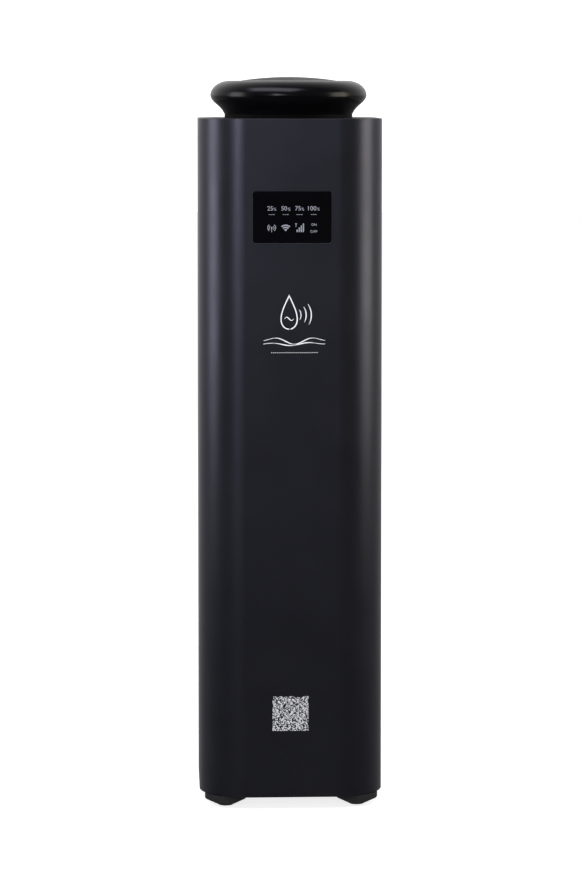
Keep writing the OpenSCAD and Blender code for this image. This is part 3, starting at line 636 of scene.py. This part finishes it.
def build_glass():
    """The display's glass with softened edges."""
    bm = bmesh.new()
    mid = (glass_lo + glass_hi) / 2
    prism(bm, rounded_rect(glass_hi.x - glass_lo.x, glass_hi.z - glass_lo.z, GLASS_R, 12),
          facing_y(mid.x, mid.z), glass_lo.y, glass_hi.y)
    glass = mesh_object("display_window", bm, MAT["display"])
    bevel_edges(glass, 0.3 * MM, 3, 60)
    weight_normals(glass)
    bake_modifiers(glass, None)
    return place(glass, "housing", "display", "display_glass")


def flat_marks(name, outlines, x, z, y, material, slot):
    """Thin raised marks from closed outlines in millimetres about (x, z), on a face that looks to -Y."""
    bm = bmesh.new()
    for pts in outlines:
        prism(bm, [(u * MM, v * MM) for u, v in pts], facing_y(x, z), y, y + PRINT_DEPTH)
    marks = mesh_object(name, bm, material)
    return place(marks, "housing", slot)


def text_marks(name, text, height, x, z, width=None):
    """Plain lettering for key labels, turned into a mesh."""
    cu = bpy.data.curves.new(name, "FONT")
    cu.body = text
    cu.align_x = "CENTER"
    cu.align_y = "CENTER"
    cu.size = height * MM * 1.38
    cu.extrude = PRINT_DEPTH / 2
    cu.offset = 0.02 * MM
    tmp = bpy.data.objects.new(name + "_curve", cu)
    bpy.context.collection.objects.link(tmp)
    dg = bpy.context.evaluated_depsgraph_get()
    me = bpy.data.meshes.new_from_object(tmp.evaluated_get(dg))
    bpy.data.objects.remove(tmp)
    xs = [v.co.x for v in me.vertices]
    ys = [v.co.y for v in me.vertices]
    mid_x, mid_y = (min(xs) + max(xs)) / 2, (min(ys) + max(ys)) / 2
    squeeze = width * MM / (max(xs) - min(xs)) if width else 1.0
    for v in me.vertices:
        u, w, d = v.co
        v.co = (x + (u - mid_x) * squeeze, ICON_Y + PRINT_DEPTH / 2 - d, z + w - mid_y)
    me.materials.clear()
    me.materials.append(icon_white)
    obj = bpy.data.objects.new(name, me)
    bpy.context.collection.objects.link(obj)
    return place(obj, "housing", "display")


def ring_sector(r0, r1, a0, a1):
    """Outline of a part of a ring between two radii and two angles."""
    n = 16
    return arc_points(0, 0, r1, a0, a1, n) + arc_points(0, 0, r0, a1, a0, n)


def moved(pts, dx, dy):
    """The same outline somewhere else."""
    return [(x + dx, y + dy) for x, y in pts]


def box_pts(x0, y0, x1, y1):
    """A rectangle from its lowest and highest corners."""
    return [(x0, y0), (x1, y0), (x1, y1), (x0, y1)]


KEY_X = (-19.9, -6.3, 7.1, 20.8)


def build_icons():
    """Fragrance levels with their bars, three plain radio symbols and the on and off labels."""
    mid = (glass_lo + glass_hi) / 2
    levels = (("25", 5.4), ("50", 5.6), ("75", 5.4), ("100", 8.0))
    for (label, width), kx in zip(levels, KEY_X):
        x = mid.x + kx * MM
        text_marks("level_" + label, label, 4.4, x - 1.5 * MM, mid.z + 8.6 * MM, width)
        text_marks("level_sign_" + label, "%", 2.9, x + (width / 2 + 0.4) * MM, mid.z + 7.8 * MM, 2.6)
        dashes = [box_pts(d - 0.75, -0.25, d + 0.75, 0.25) for d in (-2.1, 0, 2.1)]
        flat_marks("level_bar_" + label, dashes, x, mid.z + 2.6 * MM, ICON_Y, icon_white, "display")
    row_z = mid.z - 10.2 * MM
    radio = [circle_pts(0.85, 20)]
    for r in (2.0, 3.5):
        radio.append(ring_sector(r, r + 0.65, -50, 50))
        radio.append(ring_sector(r, r + 0.65, 130, 230))
    radio.append(box_pts(-0.3, -4.3, 0.3, -0.8))
    flat_marks("icon_radio", radio, mid.x + KEY_X[0] * MM, row_z, ICON_Y, icon_white, "display")
    fan = [moved(ring_sector(r, r + w, 47, 133), 0, -3.6) for r, w in ((5.2, 1.3), (3.1, 1.4))]
    fan.append(moved([(0, 0)] + arc_points(0, 0, 2.3, 47, 133, 12), 0, -3.6))
    flat_marks("icon_network", fan, mid.x + KEY_X[1] * MM, row_z + 0.2 * MM, ICON_Y, icon_white,
               "display")
    bars = [moved(box_pts(2.0 * i, -4.2, 2.0 * i + 1.2, -1.6 + 1.9 * i), -2.9, 0) for i in range(4)]
    bars.append([(-4.7, 4.2), (-2.3, 4.2), (-3.5, 2.6)])
    bars.append(box_pts(-3.75, 0.8, -3.25, 2.9))
    flat_marks("icon_signal", bars, mid.x + KEY_X[2] * MM, row_z, ICON_Y, icon_white, "display")
    text_marks("label_on", "ON", 2.4, mid.x + 21.0 * MM, mid.z - 7.2 * MM, 5.0)
    text_marks("label_off", "OFF", 2.4, mid.x + 20.8 * MM, mid.z - 13.9 * MM, 6.9)


# ---------------------------------------------------------------- printed marks on the front

def drop_points(w, h):
    """A drop with its tip up: a pointed curve on top of a round belly."""
    pts = []
    n = 48
    for i in range(n):
        t = 2 * math.pi * i / n
        pts.append((w / 2 * math.sin(t) * math.sin(t / 2) ** 1.4, h / 2 * math.cos(t)))
    return pts


def build_emblem():
    """A plain drop with spreading waves, a swash line and a row of dots."""
    drop = moved(drop_points(22, 33), -5, 0)
    half = len(drop) // 2
    parts = [stroke(side, [1.1] * len(side)) for side in (drop[:half + 1], drop[half - 1:] + drop[:2])]
    for r, w in ((9.5, 0.9), (14.5, 1.0), (19.5, 1.1)):
        arc = arc_points(-3, -3, r, -28, 34, 18)
        parts.append(stroke(arc, [w * math.sin(math.pi * (0.12 + 0.76 * i / 18)) for i in range(19)]))
    flow = [(-9.5 + 9.0 * i / 20, -6.5 + 1.6 * math.sin(math.pi * 2 * i / 20)) for i in range(21)]
    parts.append(stroke(flow, [0.9 * math.sin(math.pi * (0.1 + 0.8 * i / 20)) for i in range(21)]))
    flat_marks("emblem_drop", parts, EMBLEM_X, EMBLEM_Z, PRINT_Y, print_white, "anodised_shell")
    swash = []
    for k, (lift, amp) in enumerate(((0.0, 3.6), (-3.4, 1.6))):
        n = 80
        line, widths = [], []
        for i in range(n + 1):
            u = i / n
            line.append((-30 + 60 * u, lift + amp * math.sin(2 * math.pi * (1.5 * u + 0.1 * k))
                         * math.sin(math.pi * u) ** 0.7))
            widths.append(0.35 + 0.75 * math.sin(math.pi * u) * abs(math.cos(3 * math.pi * u)))
        swash.append(stroke(line, widths))
    flat_marks("emblem_swash", swash, EMBLEM_X, SWASH_Z, PRINT_Y, print_white, "anodised_shell")
    dots = [circle_pts(0.42, 10, -22 + 2 * i, 0) for i in range(23)]
    flat_marks("emblem_dots", dots, EMBLEM_X, DOTS_Z, PRINT_Y, print_white, "anodised_shell")


def build_code_square():
    """A square of scattered modules; it carries no data."""
    rng = random.Random(7)
    count = 41
    width, height = 35.0, 33.9
    step, row_step = width / count, height / count
    longest_run = 3
    fill = 0.47
    marks = []
    for row in range(count):
        col = 0
        while col < count:
            run = 0
            while col + run < count and run < longest_run and rng.random() < fill:
                run += 1
            if run:
                x0 = -width / 2 + col * step
                y0 = (row - count / 2) * row_step
                marks.append(box_pts(x0, y0, x0 + run * step, y0 + row_step * 0.98))
            col += run + 1
    flat_marks("code_square", marks, CODE_X, CODE_Z, PRINT_Y, code_white, "anodised_shell")


build_glass()
build_icons()
build_emblem()
build_code_square()

# ---------------------------------------------------------------- the other parts, with softened edges

terminal_green = finish_material("terminal_green", (0.03, 0.22, 0.09), 0.1, 0.42, 0.05)
plug_cream = finish_material("plug_cream", (0.62, 0.58, 0.48), 0.08, 0.45, 0.05)
fin_grey = finish_material("fin_grey", (0.30, 0.31, 0.33), 0.1, 0.4, 0.05, metallic=0.9)
sleeve_blue = finish_material("sleeve_blue", (0.012, 0.03, 0.10), 0.1, 0.35, 0.05)
wire_brown = finish_material("wire_brown", (0.09, 0.03, 0.012), 0.1, 0.42, 0.05)
wire_green = finish_material("wire_green", (0.10, 0.26, 0.03), 0.1, 0.42, 0.05)
wire_blue = finish_material("wire_blue", (0.015, 0.06, 0.32), 0.1, 0.42, 0.05)
wire_black = finish_material("wire_black", (0.012, 0.012, 0.013), 0.1, 0.42, 0.05)

# Places on a node with a finish of their own: the material, then its box's corners in millimetres
PAINT = {
    "main_board": [(plug_cream, (-27, -40, 345), (-1, -24.05, 355)),
                   (MAT["black_plastic"], (-13, -40, 289), (13, -24.05, 315)),
                   (terminal_green, (-47, -40, 243), (-13, -24.05, 255)),
                   (plug_cream, (48, -22.3, 294), (60, -17, 306)),
                   (sleeve_blue, (-54, -40, 264), (-42, -24.05, 304)),
                   (fin_grey, (23, -40, 261), (47, -24.05, 291))],
    "display_board": [(MAT["black_plastic"], (-31, -85.05, 540), (27, -80, 620))],
    "power_supply": [(terminal_green, (-30, 39, 48.05), (-4, 51, 63)),
                     (plug_cream, (47, 15, 48.05), (61, 27, 63))],
    "power_leads": [(wire_brown, (-26, 40, 50), (-21, 70, 66)), (wire_green, (-19, 40, 50), (-15, 70, 66)),
                    (wire_blue, (-12, 40, 50), (-8, 70, 66)), (wire_black, (55, -30, 50), (60, 20, 310))],
}

# Edge widths in millimetres: the usual one, and others where it is too wide for the detail
USUAL_EDGE = 0.25
EDGE_WIDTH = {"display_ribbon": 0, "wireless_module": 0.1, "pump_valve_box": 0.1, "swivel_nut": 0.15,
              "cap_spider": 0}


def refine(node, width):
    """A copy of a CAD node with small rounded edges, painted where PAINT has boxes for it."""
    source = NODES[node]
    bm = bmesh.new()
    bm.from_mesh(source.data)
    bm.transform(source.matrix_world)
    bmesh.ops.remove_doubles(bm, verts=bm.verts, dist=0.002 * MM)
    if width > 0:
        bmesh.ops.dissolve_limit(bm, angle_limit=math.radians(1.0), verts=bm.verts, edges=bm.edges)
    part = mesh_object("part_" + node, bm, MAT[SLOT_OF[node]])
    if width > 0:
        bevel_edges(part, width * MM, 2, 40)
    weight_normals(part)
    bake_modifiers(part, None)
    for k, (material, lo, hi) in enumerate(PAINT.get(node, ())):
        part.data.materials.append(material)
        for face in part.data.polygons:
            if all(a * MM <= c <= b * MM for a, c, b in zip(lo, face.center, hi)):
                face.material_index = k + 1
    return place(part, BODY_OF[node], SLOT_OF[node], node)


# Nodes that the pieces above stand for already
DONE = {"body_shell", "cap_ring", "cap_dome", "outlet_collar", "foot_front_left", "foot_front_right",
        "foot_rear_left", "foot_rear_right", "display_glass"}
for node_name in sorted(set(NODES) - DONE):
    refine(node_name, EDGE_WIDTH.get(node_name, USUAL_EDGE))

# ---------------------------------------------------------------- stage, lights, camera

STAGE_R = 14.0


def stage_material(name, glow):
    """A matte white that glows a little."""
    mat, nt, bsdf = new_material(name)
    nt.links.new(two_tone(nt, ranged(nt, noise(nt, 1.5), 0, 1), (0.60, 0.60, 0.60), (0.62, 0.62, 0.62)),
                 bsdf.inputs["Base Color"])
    bsdf.inputs["Roughness"].default_value = 0.9
    bsdf.inputs["Specular IOR Level"].default_value = 0.0
    bsdf.inputs["Emission Color"].default_value = (1, 1, 1, 1)
    bsdf.inputs["Emission Strength"].default_value = glow
    return mat


def build_stage():
    """A pale round floor and a white wall all round; neither shows in the object's reflections."""
    bm = bmesh.new()
    bm.faces.new([bm.verts.new((x, y, 0)) for x, y in circle_pts(STAGE_R, 96)])
    floor = mesh_object("stage_floor", bm, stage_material("stage_pale", 0.8))
    floor.visible_glossy = False
    bm = bmesh.new()
    bmesh.ops.create_uvsphere(bm, u_segments=64, v_segments=32, radius=STAGE_R)
    wall = mesh_object("stage_wall", bm, stage_material("stage_white", 1.0))
    wall.visible_glossy = False
    wall.visible_diffuse = False
    wall.visible_shadow = False


def area_light(name, azimuth, dist, z, w, h, power, colour=(1, 1, 1)):
    """A soft panel that faces the column from the side given by azimuth: 0 is the camera's side."""
    data = bpy.data.lights.new(name, "AREA")
    data.shape = "RECTANGLE"
    data.size = w
    data.size_y = h
    data.energy = power
    data.color = colour
    obj = bpy.data.objects.new(name, data)
    bpy.context.collection.objects.link(obj)
    a = math.radians(azimuth)
    obj.location = (math.sin(a) * dist, -math.cos(a) * dist, z)
    aim = Vector((0, 0, z)) - obj.location
    obj.rotation_euler = aim.to_track_quat("-Z", "Y").to_euler()
    return obj


def build_lights():
    area_light("strip_left", -83, 1.1, 0.73, 0.46, 0.84, 4.1, (0.96, 0.96, 1.0))
    area_light("strip_right", 77, 1.1, 0.735, 0.56, 0.85, 4.95, (1.0, 0.94, 0.79))
    area_light("small_left", -20, 2.2, 0.9, 0.12, 0.9, 4.1, (0.88, 0.88, 1.0))
    area_light("front_card", -16, 2.6, 0.98, 0.7, 0.6, 3.9, (0.9, 0.9, 1.0))
    area_light("front_fill", -4, 3.4, 1.5, 1.6, 1.2, 18).visible_glossy = False
    area_light("rear_fill", 172, 3.2, 1.8, 1.8, 1.2, 30).visible_glossy = False
    top = area_light("overhead", -34, 1.0, 2.2, 1.9, 1.0, 24, (0.84, 0.84, 1.0))
    top.rotation_euler = (math.radians(24), 0, math.radians(-30))


def build_world():
    """Soft studio surround: bright behind the object, dim in front of it and below."""
    world = bpy.data.worlds.new("studio")
    bpy.context.scene.world = world
    world.use_nodes = True
    nt = world.node_tree
    back = nt.nodes["Background"]
    coords = nt.nodes.new("ShaderNodeTexCoord")
    split = nt.nodes.new("ShaderNodeSeparateXYZ")
    nt.links.new(coords.outputs["Generated"], split.inputs["Vector"])
    behind = ranged(nt, split.outputs["Y"], 0.10, 0.85, -0.2, 0.8)
    above = ranged(nt, split.outputs["Z"], 0.25, 1.0, -0.25, 0.1)
    times = nt.nodes.new("ShaderNodeMath")
    times.operation = "MULTIPLY"
    nt.links.new(behind, times.inputs[0])
    nt.links.new(above, times.inputs[1])
    nt.links.new(times.outputs["Value"], back.inputs["Strength"])
    back.inputs["Color"].default_value = (1, 1, 1, 1)


CAMERA_DIST = 3.05
CAMERA_AZ = -2.35
CAMERA_DROP = 7.6 * MM
FOCAL_RATIO = 3064.2 / 870
SENSOR = 36.0
TILT = 3.61
SHIFT_X = 0.0018
SHIFT_Y = -0.1806


def build_camera():
    cam = bpy.data.cameras.new("camera")
    cam.lens = FOCAL_RATIO * SENSOR
    cam.shift_x = SHIFT_X
    cam.shift_y = SHIFT_Y
    obj = bpy.data.objects.new("camera", cam)
    bpy.context.collection.objects.link(obj)
    a = math.radians(CAMERA_AZ)
    obj.location = (math.sin(a) * CAMERA_DIST, -math.cos(a) * CAMERA_DIST, OBJECT_H - CAMERA_DROP)
    obj.rotation_euler = (math.radians(90 - TILT), 0, a)
    bpy.context.scene.camera = obj


build_stage()
build_lights()
build_world()
build_camera()

bpy.context.scene.view_settings.view_transform = "Standard"
bpy.context.scene.view_settings.look = "None"
